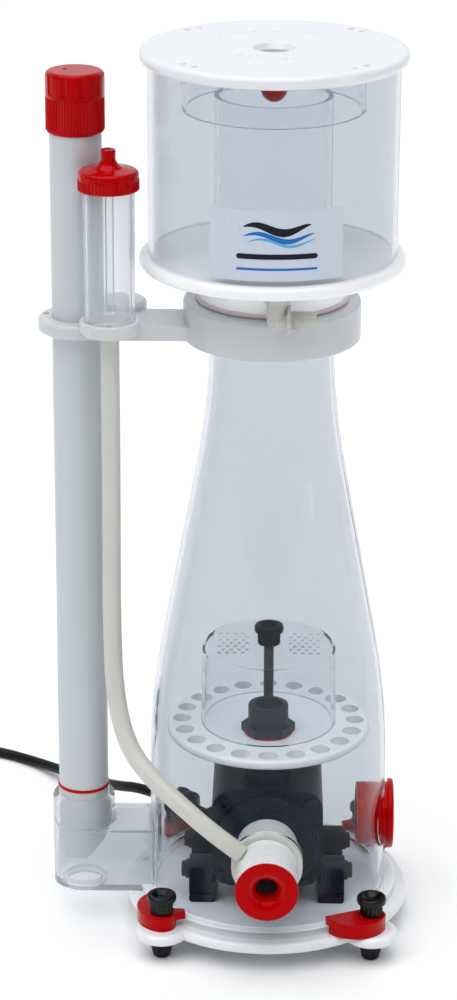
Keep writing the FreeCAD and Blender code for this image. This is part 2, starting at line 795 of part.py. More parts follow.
def make_dome():
    """Clear upturned pot over the pump's outlet, with two fields of fine holes in its roof."""
    outside = turned([
        (0, BUBBLE_Z1 + GLUE),
        (DOME_R, BUBBLE_Z1 + GLUE),
        (DOME_R - 0.8, DOME_TOP, 3.0),
        (0, DOME_TOP),
    ])
    inside = turned([
        (0, BUBBLE_Z1 - 1),
        (DOME_R - 2.2, BUBBLE_Z1 - 1),
        (DOME_R - 3.0, DOME_TOP - 2.2, 1.5),
        (0, DOME_TOP - 2.2),
    ])
    cuts = [inside, disc(LONG_SCREW_R + RUN, DOME_TOP - 5, DOME_TOP + 1)]
    for side in (-1, 1):
        for row in range(-3, 4):
            for column in range(4):
                x = side * (14.0 + 5.0 * column + 2.5 * (row % 2))
                y = 5.2 * row
                if math.hypot(x, y) < DOME_R - 7:
                    cuts.append(disc(1.0, DOME_TOP - 5, DOME_TOP + 1, x, y))
    return outside.cut(cuts)


def make_outlet_nut():
    hexagon = Part.makePolygon([
        Vector(
            17.1 * math.cos(math.radians(60 * i)),
            17.1 * math.sin(math.radians(60 * i)) + PUMP_UP_Y,
            BUBBLE_Z1 + 1.0,
        )
        for i in range(7)
    ])
    nut = Part.Face(hexagon).extrude(Vector(0, 0, NUT_TOP - BUBBLE_Z1 - 1.0))
    return nut.cut(disc(PUMP_UP_R + GLUE, BUBBLE_Z1, NUT_TOP + 1, 0, PUMP_UP_Y))


NODES["bubble_plate"] = make_bubble_plate()
NODES["diffuser_dome"] = make_dome()
NODES["diffuser_screw"] = thumb_knob(DOME_TOP + KNOB_GAP).fuse(
    disc(LONG_SCREW_R, BUBBLE_Z0 + 0.5, DOME_TOP + 1)
)
NODES["outlet_nut"] = make_outlet_nut()
NODES["outlet_gasket"] = ring(15.4, PUMP_UP_R + GLUE, BUBBLE_Z1, BUBBLE_Z1 + 1.0, 0, PUMP_UP_Y)


# ---------------------------------------------------------------- pump
MOTOR_HALF = 35.5
MOTOR_Z0 = 22.0
MOTOR_Z1 = 92.0
MOTOR_Y0 = -8.0
MOTOR_Y1 = 46.0
VOLUTE_Y0 = -41.0
COVER_Y0 = -50.0
COVER_R = 33.0
CHAMBER_R = 27.0
MAGNET_R = 9.4
WELL_R = 10.0
SHOULDER_R = 15.4          # foot of the pump's outlet pipe
SHAFT_R = 2.5
FRONT = Y_AXIS * -1


def at_axis(y):
    return Vector(0, y, PORT_Z)


def make_volute():
    """Pump chamber: a squarish block with a round chamber and the outlet pipe going up."""
    block = rounded_block(
        -MOTOR_HALF, MOTOR_HALF, VOLUTE_Y0, MOTOR_Y0, MOTOR_Z0 + 2, MOTOR_Z1, 14.0, Y_AXIS
    )
    shoulder = turned([
        (0, MOTOR_Z1 - 12),
        (SHOULDER_R, MOTOR_Z1 - 12),
        (SHOULDER_R, BUBBLE_Z0 - 0.2, 1.0),
        (0, BUBBLE_Z0 - 0.2),
    ], 0, PUMP_UP_Y)
    upright = turned([
        (0, BUBBLE_Z0 - 1),
        (PUMP_UP_R, BUBBLE_Z0 - 1),
        (PUMP_UP_R, UPPIPE_TOP, 1.0),
        (0, UPPIPE_TOP),
    ], 0, PUMP_UP_Y)
    volute = block.fuse([shoulder, upright])
    return volute.cut([
        rod(at_axis(MOTOR_Y0 - 4), FRONT, 40, CHAMBER_R),
        rod(at_axis(MOTOR_Y0 + 1), FRONT, 12, WELL_R),
        disc(PUMP_UP_BORE, PORT_Z, UPPIPE_TOP + 1, 0, PUMP_UP_Y),
    ])


def make_front_cover():
    """Round cover that the intake pipe plugs into, with strengthening ribs and a bearing spider."""
    depth = VOLUTE_Y0 - COVER_Y0
    profile = [
        (0, 0),
        (COVER_R, 0, 0.8),
        (COVER_R, depth - 3.0, 1.5),
        (INTAKE_R + 5, depth, 1.0),
        (0, depth),
    ]
    cover = laid(turned(profile), FRONT, at_axis(VOLUTE_Y0))
    rib = box(-1.2, 1.2, COVER_Y0 + 1.5, VOLUTE_Y0 - 1, PORT_Z + 22, PORT_Z + COVER_R - 0.5)
    ribs = []
    for i in range(8):
        copy = rib.copy()
        copy.rotate(at_axis(0), Y_AXIS, 45 * i + 22.5)
        ribs.append(copy)
    cover = cover.fuse(ribs)
    cover = cover.cut([
        rod(at_axis(COVER_Y0 + 6), FRONT, 20, INTAKE_R + GLUE),
        rod(at_axis(VOLUTE_Y0 + 1), FRONT, 20, INTAKE_R - 3),
    ])
    spider = [
        box(-INTAKE_R + 2, INTAKE_R - 2, VOLUTE_Y0 - 2.5, VOLUTE_Y0, PORT_Z - 1.2, PORT_Z + 1.2),
        box(-1.2, 1.2, VOLUTE_Y0 - 2.5, VOLUTE_Y0, PORT_Z - INTAKE_R + 2, PORT_Z + INTAKE_R - 2),
        rod(at_axis(VOLUTE_Y0), FRONT, 2.5, 5.0),
    ]
    cover = cover.fuse(spider)
    return cover.cut(rod(at_axis(VOLUTE_Y0 + 1), FRONT, 10, SHAFT_R + 1.0))


def make_motor():
    block = rounded_block(
        -MOTOR_HALF, MOTOR_HALF, MOTOR_Y0, MOTOR_Y1, MOTOR_Z0, MOTOR_Z1 - 2, 12.0, Y_AXIS
    )
    fins = [
        rounded_block(-24, 24, y, y + 3, MOTOR_Z1 - 3, MOTOR_Z1 + 1, 1.4, Y_AXIS)
        for y in (6, 15, 24, 33)
    ]
    well = rod(at_axis(MOTOR_Y0 - 1), Y_AXIS, 50, WELL_R)
    outlet_room = disc(SHOULDER_R + GLUE, MOTOR_Z1 - 13, BUBBLE_Z0, 0, PUMP_UP_Y)
    gland_seat = rod(at_gland(MOTOR_GLAND_AT), GLAND_DIR, 20, MOTOR_GLAND_R + GLUE)
    return block.fuse(fins).cut([well, outlet_room, gland_seat])


LEG_X0 = 33.0
LEG_X1 = 50.0
LUG_Y = (-27.0, 16.0)


def make_pump_stand():
    """Two runners with four lugs that carry the pump above the base plate."""
    solids = []
    for side in (-1, 1):
        x0 = min(side * LEG_X0, side * LEG_X1)
        x1 = max(side * LEG_X0, side * LEG_X1)
        runner = rounded_block(x0, x1, -34, 44, PLATE_TOP, 14.0, 2.5, Y_AXIS)
        parts = []
        for y in LUG_Y:
            parts.append(rounded_block(x0, x1, y - 7, y + 7, 12.0, 38.0, 5.0, X_AXIS))
        x_in = side * (MOTOR_HALF + GLUE)
        cut_x0 = min(0, x_in)
        cut_x1 = max(0, x_in)
        body = runner.fuse(parts).cut(box(cut_x0, cut_x1, -60, 60, MOTOR_Z0 - GLUE, 60))
        solids.append(body)
    return Part.makeCompound(solids)


def make_lug_bolts():
    """Black bolt heads on the outside of the four lugs."""
    bolts = []
    for side in (-1, 1):
        for y in LUG_Y:
            head = turned([(0, 0), (6.4, 0, 0.6), (6.4, 2.2), (5.2, 2.2), (5.2, 5.0, 1.0), (0, 5.0)])
            bolts.append(laid(head, X_AXIS * side, Vector(side * LEG_X1, y, 29.0)))
    return Part.makeCompound(bolts)


def make_cover_screws():
    """Clamping screws at the corners of the pump chamber."""
    screws = []
    for sx in (-1, 1):
        for dz in (-26.0, 26.0):
            head = turned([(0, 0), (4.2, 0, 0.5), (4.2, 3.4, 0.8), (1.8, 3.4), (1.8, 1.6), (0, 1.6)])
            screws.append(laid(head, FRONT, Vector(sx * 27.5, VOLUTE_Y0, PORT_Z + dz)))
    return Part.makeCompound(screws)


def make_impeller():
    """Needle wheel: two discs carrying rings of pins that chop the air into fine bubbles."""
    y_back = VOLUTE_Y0 + 26
    hub = rod(at_axis(y_back), FRONT, 20, 6.0)
    plate = rod(at_axis(y_back), FRONT, 2.5, 23.5)
    pins = []
    for ring_r, count in ((22.0, 16), (17.0, 12), (12.0, 8)):
        for i in range(count):
            angle = 2 * math.pi * i / count
            spot = Vector(ring_r * math.cos(angle), y_back - 2, PORT_Z + ring_r * math.sin(angle))
            pins.append(rod(spot, FRONT, 17, 1.2))
    return hub.fuse([plate] + pins).cut(rod(at_axis(y_back + 1), FRONT, 40, SHAFT_R + GLUE))


def make_shaft():
    return rod(at_axis(38.0), FRONT, 38.0 - VOLUTE_Y0 + 1.8, SHAFT_R)


def make_bushes():
    front = rod(at_axis(VOLUTE_Y0), FRONT, 2.4, SHAFT_R + 1 - GLUE)
    rear = rod(at_axis(35.0), Y_AXIS, 5.0, WELL_R - GLUE)
    hole = rod(at_axis(60), FRONT, 120, SHAFT_R + RUN)
    return Part.makeCompound([front.cut(hole), rear.cut(hole)])


NODES["pump_volute"] = make_volute()
NODES["pump_front_cover"] = make_front_cover()
NODES["pump_motor"] = make_motor()
NODES["pump_stand"] = make_pump_stand()
NODES["pump_lug_bolts"] = make_lug_bolts()
NODES["pump_cover_screws"] = make_cover_screws()
NODES["impeller"] = make_impeller()
NODES["rotor_magnet"] = rod(at_axis(-10.0), Y_AXIS, 42.0, MAGNET_R).cut(
    rod(at_axis(-20), Y_AXIS, 80, SHAFT_R + GLUE)
)
NODES["rotor_shaft"] = make_shaft()
NODES["shaft_bushes"] = make_bushes()


# ---------------------------------------------------------------- intake and its air nipple
NOZZLE_R = 19.9
NOZZLE_FACE = -114.0
NOZZLE_BACK = -98.0
NOZZLE_RIM = 1.6           # thickness of the rim that lies against the pipe's end
INTAKE_Y1 = NOZZLE_FACE + NOZZLE_RIM + GAP
MOUTH_R = 6.8
BELL_R = 7.5               # rounding from the nozzle's face into its mouth
AIR_Y = -86.0
AIR_TILT = math.radians(38)
AIR_DIR = Vector(-math.cos(AIR_TILT), 0, math.sin(AIR_TILT))
INTAKE_BORE = 16.3
NIPPLE_OUT = 34.0


def make_intake_pipe():
    pipe = rod(at_axis(COVER_Y0 + 6), FRONT, COVER_Y0 + 6 - INTAKE_Y1, INTAKE_R)
    bore = rod(at_axis(COVER_Y0 + 7), FRONT, 80, INTAKE_BORE)
    air_hole = rod(at_axis(AIR_Y), AIR_DIR, 30, BARB_R + GLUE)
    return pipe.cut([bore, air_hole])


def make_nozzle():
    """Nozzle pushed into the intake pipe: a thin flat rim and a bell-shaped mouth."""
    length = NOZZLE_BACK - NOZZLE_FACE
    spigot_r = INTAKE_BORE - RUN
    solid = turned([
        (MOUTH_R, 4.0),
        (spigot_r - 3.0, 0),
        (spigot_r, 0, 0.5),
        (spigot_r, length - NOZZLE_RIM),
        (NOZZLE_R, length - NOZZLE_RIM, 0.3),
        (NOZZLE_R, length, 0.7),
        (MOUTH_R, length, BELL_R),
    ])
    return laid(solid, FRONT, at_axis(NOZZLE_BACK))


def make_air_nipple():
    profile = [
        (0, INTAKE_BORE),
        (BARB_R, INTAKE_BORE),
        (BARB_R, 24),
        (3.2, 24),
        (3.2, 26),
        (BARB_R, 26),
        (3.2, 29.5),
        (BARB_R, 29.5),
        (3.0, NIPPLE_OUT),
        (0, NIPPLE_OUT),
    ]
    nipple = turned(profile).cut(disc(2.0, 0, NIPPLE_OUT + 5))
    return laid(nipple, AIR_DIR, at_axis(AIR_Y))


def make_grommet():
    """Soft seal between the intake pipe and the vessel's wall, shaped to the wall."""
    sleeve = rod(at_axis(-68), FRONT, 11.5, GROMMET_R)
    return sleeve.cut(rod(at_axis(-60), FRONT, 40, INTAKE_R + GLUE))


NODES["intake_pipe"] = make_intake_pipe()
NODES["intake_nozzle"] = make_nozzle()
NODES["intake_grommet"] = make_grommet()
NODES["air_nipple"] = make_air_nipple()


# ---------------------------------------------------------------- plug in the second port
PLUG_X0 = 58.0
PLUG_FLANGE_X = 78.0
PLUG_X1 = 82.0


def make_side_plug():
    tube = rod(Vector(PLUG_X0, 0, PORT_Z), X_AXIS, PLUG_FLANGE_X - PLUG_X0 + 1, PLUG_R)
    flange = laid(
        turned([(0, 0), (22.8, 0, 0.8), (22.8, PLUG_X1 - PLUG_FLANGE_X, 1.6), (0, PLUG_X1 - PLUG_FLANGE_X)]),
        X_AXIS,
        Vector(PLUG_FLANGE_X, 0, PORT_Z),
    )
    hollow = rod(Vector(PLUG_X0 - 1, 0, PORT_Z), X_AXIS, PLUG_FLANGE_X - PLUG_X0, PLUG_R - 3)
    groove = rod(Vector(PLUG_X0 + 3, 0, PORT_Z), X_AXIS, 3, PLUG_R + 1).cut(
        rod(Vector(PLUG_X0, 0, PORT_Z), X_AXIS, 20, PLUG_R - 1.5)
    )
    return tube.fuse(flange).cut([hollow, groove])


NODES["side_plug"] = make_side_plug()
NODES["side_plug_seal"] = rod(Vector(PLUG_X0 + 3 + GLUE, 0, PORT_Z), X_AXIS, 3 - 2 * GLUE, PLUG_R).cut(
    rod(Vector(PLUG_X0, 0, PORT_Z), X_AXIS, 20, PLUG_R - 1.5 + GLUE)
)


# ---------------------------------------------------------------- free hose and cord
CORD_LIE = FLOOR + CORD_R + 0.1

HOSE_END = at_axis(AIR_Y) + AIR_DIR * 21.0
HOSE_ROUTE = [
    Vector(SILENCER_X, SILENCER_Y, HOLDER_Z0 - 0.2),
    Vector(-98.6, -28.3, 338),
    Vector(-98.8, -28.8, 272),
    Vector(-99.0, -31.5, 208),
    Vector(-97.4, -40.0, 160),
    Vector(-89.6, -53.0, 129.5),
    Vector(-73.5, -67.5, 112.5),
    Vector(-53.5, -78.5, 98.5),
    HOSE_END + AIR_DIR * 22.0,
    HOSE_END,
]

COIL_X = -270.0
COIL_Y = 283.0
COIL_LAYERS = 2            # each layer is a flat spiral of three turns
COIL_TURNS = 3
COIL_MID_R = 37.0
COIL_OUT_R = COIL_MID_R + COIL_TURNS * CORD_R      # centre line where the spiral starts
CORD_ROUTE = [
    GLAND_WALL + GLAND_DIR * 20,
    GLAND_WALL + GLAND_DIR * 36,
    Vector(-101.5, 88.0, 31.5),
    Vector(-113.0, 110.0, 23.0),
    Vector(-122.0, 134.0, 13.0),
    Vector(-132.5, 159.0, 4.5),
    Vector(-146.5, 185.0, -4.0),
    Vector(-168.0, 211.0, CORD_LIE),
    Vector(-200.0, 230.0, CORD_LIE),
    Vector(-234.0, COIL_Y - COIL_OUT_R - 0.5, CORD_LIE),
    Vector(COIL_X + 6, COIL_Y - COIL_OUT_R, CORD_LIE),
]


def soft_tube(name, route, radius):
    """Straight runs joined by the largest tangent arcs that they allow, swept by a circle."""
    starts = [route[0]]
    edges = []
    radii = []
    here = route[0]
    for i in range(1, len(route) - 1):
        before = route[i] - route[i - 1]
        after = route[i + 1] - route[i]
        reach = 0.45 * min(before.Length, after.Length)
        a = route[i] - Vector(before).normalize() * reach
        b = route[i] + Vector(after).normalize() * reach
        half = before.getAngle(after) / 2
        bend = reach / math.tan(half)
        radii.append(bend)
        centre_way = (Vector(after).normalize() - Vector(before).normalize()).normalize()
        middle = route[i] + centre_way * (bend / math.cos(half) - bend)
        edges.append(Part.LineSegment(here, a).toShape())
        edges.append(Part.Arc(a, middle, b).toShape())
        here = b
    edges.append(Part.LineSegment(here, route[-1]).toShape())
    path = Part.Wire(edges)
    first = Vector(route[1] - route[0]).normalize()
    circle = Part.Wire(Part.makeCircle(radius, starts[0], first))
    tube = path.makePipeShell([circle], True, True)
    expected = math.pi * radius * radius * path.Length
    print("%s: length %.0f, volume ratio %.4f" % (name, path.Length, tube.Volume / expected))
    print("   radii " + " ".join("%.0f" % r for r in radii))
    return tube


def make_coil():
    """Outer shape of the coiled rest of the cord, lying on the floor."""
    half_width = (COIL_TURNS + 1) * CORD_R
    inner = COIL_MID_R - half_width
    outer = COIL_MID_R + half_width
    low = FLOOR + 0.1
    high = low + COIL_LAYERS * 2 * CORD_R
    return turned([
        (inner, low, 3.0),
        (outer, low, 3.0),
        (outer, high, 3.0),
        (inner, high, 3.0),
    ], COIL_X, COIL_Y)


PLUG_LEN = 34.0
RELIEF_LEN = 26.0
PLUG_TURN = 190.0          # where round the coil the last turn leaves it, going clockwise
PLUG_TAIL = 20.0
PLUG_HALF_W = 13.0
PLUG_HALF_H = 6.8


def make_power_plug():
    """Two-pin moulded plug beside the coil, with a tapered strain relief."""
    relief = turned([(0, 0), (4.2, 0), (6.6, RELIEF_LEN), (0, RELIEF_LEN)])
    face_z = RELIEF_LEN + PLUG_LEN
    body = rounded_block(
        -PLUG_HALF_W, PLUG_HALF_W, -PLUG_HALF_H, PLUG_HALF_H, RELIEF_LEN - 1, face_z, 5.0, Z_AXIS
    )
    pins = [disc(2.4, face_z - 1, face_z + 19, x, 0) for x in (-9.5, 9.5)]
    plug = relief.fuse([body.fuse(pins)])
    leave = polar(COIL_OUT_R, PLUG_TURN, 0)
    way = polar(1, PLUG_TURN - 90, 0)
    start = Vector(COIL_X, COIL_Y, FLOOR + PLUG_HALF_H + 0.1) + leave + way * PLUG_TAIL
    plug = laid(plug, Y_AXIS, start)
    plug.rotate(start, Z_AXIS, PLUG_TURN - 180)
    return plug


def make_gland():
    """Cable gland in the vessel's wall: inner nut, body and tapered strain relief."""
    profile = [
        (0, -10),
        (6.5, -10, 0.6),
        (10.5, -8),
        (10.5, -4.2),
        (GLAND_R, -4.2),
        (GLAND_R, 0.4),
        (11.0, 0.4, 0.6),
        (11.0, 4.5, 0.8),
        (7.0, 5.5),
        (4.6, 20.0),
        (0, 20.0),
    ]
    return laid(turned(profile), GLAND_DIR, GLAND_WALL)


def make_motor_gland():
    length = MOTOR_GLAND_END - MOTOR_GLAND_AT
    profile = [
        (0, 0),
        (MOTOR_GLAND_R, 0),
        (MOTOR_GLAND_R, length - 2.0, 1.0),
        (CORD_R + 0.8, length),
        (0, length),
    ]
    return laid(turned(profile), GLAND_DIR, at_gland(MOTOR_GLAND_AT))


NODES["air_hose"] = soft_tube("air_hose", HOSE_ROUTE, HOSE_R)
NODES["power_cord"] = soft_tube("power_cord", CORD_ROUTE, CORD_R)
NODES["pump_lead"] = rod(
    at_gland(MOTOR_GLAND_END), GLAND_DIR, VESSEL_R - 10 - MOTOR_GLAND_END, CORD_R
)
NODES["power_cord_coil"] = make_coil()
NODES["power_plug"] = make_power_plug()
NODES["cord_gland"] = make_gland()
NODES["motor_gland"] = make_motor_gland()


# ---------------------------------------------------------------- export
os.makedirs("parts", exist_ok=True)
for name, shape in NODES.items():
    shape.exportStep("parts/%s.step" % name)
print("%d nodes" % len(NODES))
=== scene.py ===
import math
import random

import bmesh
import bpy
from mathutils import Matrix, Vector


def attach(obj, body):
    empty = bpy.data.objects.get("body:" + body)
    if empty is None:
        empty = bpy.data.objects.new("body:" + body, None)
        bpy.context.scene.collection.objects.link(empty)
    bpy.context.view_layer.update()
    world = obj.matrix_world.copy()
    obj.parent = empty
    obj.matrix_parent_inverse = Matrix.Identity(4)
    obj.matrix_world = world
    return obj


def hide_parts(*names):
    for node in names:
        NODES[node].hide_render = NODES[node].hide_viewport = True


# Protein skimmer. Metres, in the CAD frame: the origin is on the vessel's axis at the underside
# of the base plate, +Z up, -Y the front with the pump intake, -X the side with the standpipe.

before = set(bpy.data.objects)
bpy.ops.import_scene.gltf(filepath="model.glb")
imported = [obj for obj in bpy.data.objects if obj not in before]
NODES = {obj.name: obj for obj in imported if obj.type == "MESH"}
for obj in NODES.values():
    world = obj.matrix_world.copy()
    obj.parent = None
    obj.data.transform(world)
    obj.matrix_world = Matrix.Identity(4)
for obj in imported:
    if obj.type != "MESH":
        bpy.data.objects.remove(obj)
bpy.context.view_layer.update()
MM = 0.001
random.seed(7)


# ---------------------------------------------------------------- camera
CAMERA_AT = Vector((0.0, -1.86485, 0.98011))
PITCH = math.radians(20.718)          # looking down
YAW = math.radians(-0.810)            # turned a little left, to take in more of the cord
ROLL = math.radians(-0.253)
LENS = 113.80                         # mm, for a 36 mm long side


def make_camera():
    data = bpy.data.cameras.new("camera")
    data.lens = LENS
    data.sensor_width = 36.0
    data.sensor_fit = "AUTO"
    data.clip_start = 0.05
    data.clip_end = 60.0
    camera = bpy.data.objects.new("camera", data)
    bpy.context.scene.collection.objects.link(camera)
    forward = Vector((
        math.sin(YAW) * math.cos(PITCH),
        math.cos(YAW) * math.cos(PITCH),
        -math.sin(PITCH),
    ))
    level = Vector((math.cos(YAW), -math.sin(YAW), 0.0))
    down = forward.cross(level)
    right = math.cos(ROLL) * level + math.sin(ROLL) * down
    up = math.sin(ROLL) * level - math.cos(ROLL) * down
    turn = Matrix((right, up, -forward)).transposed()
    camera.matrix_world = Matrix.Translation(CAMERA_AT) @ turn.to_4x4()
    bpy.context.scene.camera = camera


make_camera()


# ---------------------------------------------------------------- materials
def new_material(name):
    material = bpy.data.materials.new(name)
    material.use_nodes = True
    tree = material.node_tree
    shader = tree.nodes["Principled BSDF"]
    return material, tree, shader


def add_noise(tree, scale, detail=2.0, stretch=(1.0, 1.0, 1.0)):
    place = tree.nodes.new("ShaderNodeTexCoord")
    mapping = tree.nodes.new("ShaderNodeMapping")
    mapping.inputs["Scale"].default_value = stretch
    noise = tree.nodes.new("ShaderNodeTexNoise")
    noise.inputs["Scale"].default_value = scale
    noise.inputs["Detail"].default_value = detail
    tree.links.new(place.outputs["Object"], mapping.inputs["Vector"])
    tree.links.new(mapping.outputs["Vector"], noise.inputs["Vector"])
    return noise.outputs["Fac"]


def add_range(tree, value, low, high):
    """The noise's usual span, 0.3 to 0.7, turned into low to high."""
    node = tree.nodes.new("ShaderNodeMapRange")
    node.inputs["From Min"].default_value = 0.3
    node.inputs["From Max"].default_value = 0.7
    node.inputs["To Min"].default_value = low
    node.inputs["To Max"].default_value = high
    tree.links.new(value, node.inputs["Value"])
    return node.outputs["Result"]


def add_mix(tree, factor, first, second):
    node = tree.nodes.new("ShaderNodeMix")
    node.data_type = "RGBA"
    tree.links.new(factor, node.inputs["Factor"])
    node.inputs["A"].default_value = (*first, 1.0)
    node.inputs["B"].default_value = (*second, 1.0)
    return node.outputs["Result"]


def add_bump(tree, shader, height, distance, strength=1.0):
    node = tree.nodes.new("ShaderNodeBump")
    node.inputs["Strength"].default_value = strength
    node.inputs["Distance"].default_value = distance
    tree.links.new(height, node.inputs["Height"])
    tree.links.new(node.outputs["Normal"], shader.inputs["Normal"])


def shade(colour, factor):
    return tuple(c * factor for c in colour)


def pass_shadow_rays(tree, surface, tint):
    """The lamps shine through a surface, tinted."""
    path = tree.nodes.new("ShaderNodeLightPath")
    through = tree.nodes.new("ShaderNodeBsdfTransparent")
    through.inputs["Color"].default_value = (*tint, 1.0)
    mixer = tree.nodes.new("ShaderNodeMixShader")
    output = tree.nodes["Material Output"]
    tree.links.new(path.outputs["Is Shadow Ray"], mixer.inputs["Fac"])
    tree.links.new(surface, mixer.inputs[1])
    tree.links.new(through.outputs["BSDF"], mixer.inputs[2])
    tree.links.new(mixer.outputs["Shader"], output.inputs["Surface"])


def moulded(name, colour, rough, spread=0.04, grain=60.0, depth=0.00001, coat=0.0, darker=0.95,
            shine=0.5, glint=(1.0, 1.0, 1.0), lets=0.0):
    """Injection-moulded or turned plastic: slightly uneven colour and gloss, and a fine skin.
    A thin white sheet lets some of the lamps' light through."""
    material, tree, shader = new_material(name)
    cloud = add_range(tree, add_noise(tree, 38.0, 3.0), 0.0, 1.0)
    tint = add_mix(tree, cloud, shade(colour, darker), colour)
    tree.links.new(tint, shader.inputs["Base Color"])
    gloss = add_range(tree, add_noise(tree, 70.0, 3.0), rough - spread, rough + spread)
    tree.links.new(gloss, shader.inputs["Roughness"])
    add_bump(tree, shader, add_noise(tree, grain, 2.0), depth)
    shader.inputs["Specular IOR Level"].default_value = shine
    shader.inputs["Specular Tint"].default_value = (*glint, 1.0)
    shader.inputs["Coat Weight"].default_value = coat
    shader.inputs["Coat Roughness"].default_value = 0.08
    if lets > 0.0:
        pass_shadow_rays(tree, shader.outputs["BSDF"], (lets, lets, lets))
    return material


def milky(name, colour, rough, through, scatter):
    """Half-clear plastic: light soaks in and a little of it comes through."""
    material, tree, shader = new_material(name)
    cloud = add_range(tree, add_noise(tree, 30.0, 3.0), 0.0, 1.0)
    tint = add_mix(tree, cloud, shade(colour, 0.97), colour)
    tree.links.new(tint, shader.inputs["Base Color"])
    gloss = add_range(tree, add_noise(tree, 50.0, 2.0), rough - 0.04, rough + 0.06)
    tree.links.new(gloss, shader.inputs["Roughness"])
    add_bump(tree, shader, add_noise(tree, 45.0, 2.0), 0.00001)
    shader.inputs["Transmission Weight"].default_value = through
    shader.inputs["Subsurface Weight"].default_value = scatter
    shader.inputs["Subsurface Radius"].default_value = (1.0, 0.95, 0.9)
    shader.inputs["Subsurface Scale"].default_value = 0.004
    return material


FROST = (0.9, 0.92, 0.94)
FROST_COVER = 0.75        # how much of a sawn end the frost hides
LAMP_TINT = (0.985, 0.99, 0.995)


def clear(name, colour, ior, waves=(6.0, 6.0, 2.0), depth=0.00001, sawn_ends=False, veil=0.0):
    """Clear acrylic: long faint draw lines and a trace of haze; lamps reach what is behind it.
    Level end faces of a sawn tube are frosted white, and veil is a thin white film all over."""
    material, tree, shader = new_material(name)
    haze = add_range(tree, add_noise(tree, 14.0, 4.0), 0.0, 0.05)
    tree.links.new(haze, shader.inputs["Roughness"])
    tint = add_range(tree, add_noise(tree, 9.0, 2.0), 0.0, 1.0)
    tree.links.new(add_mix(tree, tint, shade(colour, 0.985), colour), shader.inputs["Base Color"])
    shader.inputs["Transmission Weight"].default_value = 1.0
    shader.inputs["IOR"].default_value = ior
    add_bump(tree, shader, add_noise(tree, 5.0, 1.0, waves), depth)
    surface = shader.outputs["BSDF"]
    if sawn_ends or veil > 0.0:
        facing = tree.nodes.new("ShaderNodeNewGeometry")
        split = tree.nodes.new("ShaderNodeSeparateXYZ")
        upright = tree.nodes.new("ShaderNodeMath")
        upright.operation = "ABSOLUTE"
        step = tree.nodes.new("ShaderNodeMapRange")
        step.inputs["From Min"].default_value = 0.8
        step.inputs["From Max"].default_value = 0.95
        step.inputs["To Min"].default_value = veil
        step.inputs["To Max"].default_value = FROST_COVER if sawn_ends else veil
        frost = tree.nodes.new("ShaderNodeBsdfPrincipled")
        frost.inputs["Base Color"].default_value = (*FROST, 1.0)
        frost.inputs["Roughness"].default_value = 0.5
        blend = tree.nodes.new("ShaderNodeMixShader")
        tree.links.new(facing.outputs["True Normal"], split.inputs["Vector"])
        tree.links.new(split.outputs["Z"], upright.inputs[0])
        tree.links.new(upright.outputs["Value"], step.inputs["Value"])
        tree.links.new(step.outputs["Result"], blend.inputs["Fac"])
        tree.links.new(surface, blend.inputs[1])
        tree.links.new(frost.outputs["BSDF"], blend.inputs[2])
        surface = blend.outputs["Shader"]
    pass_shadow_rays(tree, surface, LAMP_TINT)
    return material


def brushed_pipe(name, colour, rough):
    """Extruded pipe: very long fine lines along it and a slightly uneven colour."""
    material, tree, shader = new_material(name)
    cloud = add_range(tree, add_noise(tree, 12.0, 3.0, (1.0, 1.0, 0.3)), 0.0, 1.0)
    tint = add_mix(tree, cloud, shade(colour, 0.97), colour)
    tree.links.new(tint, shader.inputs["Base Color"])
    gloss = add_range(tree, add_noise(tree, 60.0, 3.0), rough - 0.04, rough + 0.04)
    tree.links.new(gloss, shader.inputs["Roughness"])
    add_bump(tree, shader, add_noise(tree, 300.0, 2.0, (1.0, 1.0, 0.02)), 0.000012)
    return material


WHITE = (0.82, 0.84, 0.87)
RED = (0.43, 0.0008, 0.002)
RED_GLINT = (1.0, 0.06, 0.06)
BLACK = (0.003, 0.004, 0.005)
SLATE = (0.003, 0.010, 0.021)
WALL_IOR = 1.2            # below acrylic's 1.49, so that the walls bend and mirror light less
INNER_IOR = 1.12
SMOKE = (0.73, 0.76, 0.795)
WATER_CLEAR = (0.95, 0.965, 0.98)

white_pvc = moulded("white_pvc", WHITE, 0.22, spread=0.02, coat=0.2, darker=0.985)
lid_white = moulded("lid_white", (0.80, 0.815, 0.85), 0.22, spread=0.02, darker=0.985, lets=0.45)
# The cup floor's white is painted lighter than the other white plastics: a painted brightening that
# stands in for light the lid keeps off the inside of the cup.
cup_white_painted_light = moulded("cup_white_painted_light", (0.93, 0.94, 0.96), 0.22, spread=0.02, darker=0.985, lets=0.2)
pipe_white = brushed_pipe("pipe_white", (0.56, 0.60, 0.63), 0.34)
clear_body = clear("clear_body", SMOKE, WALL_IOR, sawn_ends=True)
clear_box = clear("clear_box", SMOKE, INNER_IOR, veil=0.15)
clear_cup = clear("clear_cup", SMOKE, WALL_IOR, sawn_ends=True)
clear_inner = clear("clear_inner", WATER_CLEAR, INNER_IOR, depth=0.000008, sawn_ends=True)
clear_tube = clear("clear_tube", (0.90, 0.92, 0.94), WALL_IOR, depth=0.000004, sawn_ends=True, veil=0.14)
clear_dome = clear("clear_dome", WATER_CLEAR, INNER_IOR, depth=0.000008, veil=0.02)
frosted = milky("frosted_acrylic", (0.76, 0.785, 0.81), 0.2, 0.25, 0.4)
nylon = milky("translucent_nylon", (0.74, 0.73, 0.69), 0.3, 0.35, 0.5)
red_plastic = moulded("red_plastic", RED, 0.14, shine=0.5, glint=RED_GLINT)
red_seal = moulded("red_seal", (0.45, 0.004, 0.008), 0.42, shine=0.2, glint=RED_GLINT)
pink_seal = milky("pink_seal", (0.86, 0.68, 0.67), 0.4, 0.2, 0.4)
pale_seal = milky("pale_seal", (0.80, 0.81, 0.82), 0.45, 0.1, 0.4)
black_plastic = moulded("black_plastic", BLACK, 0.24, grain=220.0, depth=0.00001, shine=0.25)
black_rubber = moulded("black_rubber", (0.004, 0.004, 0.005), 0.44, grain=260.0, depth=0.00002, shine=0.2)
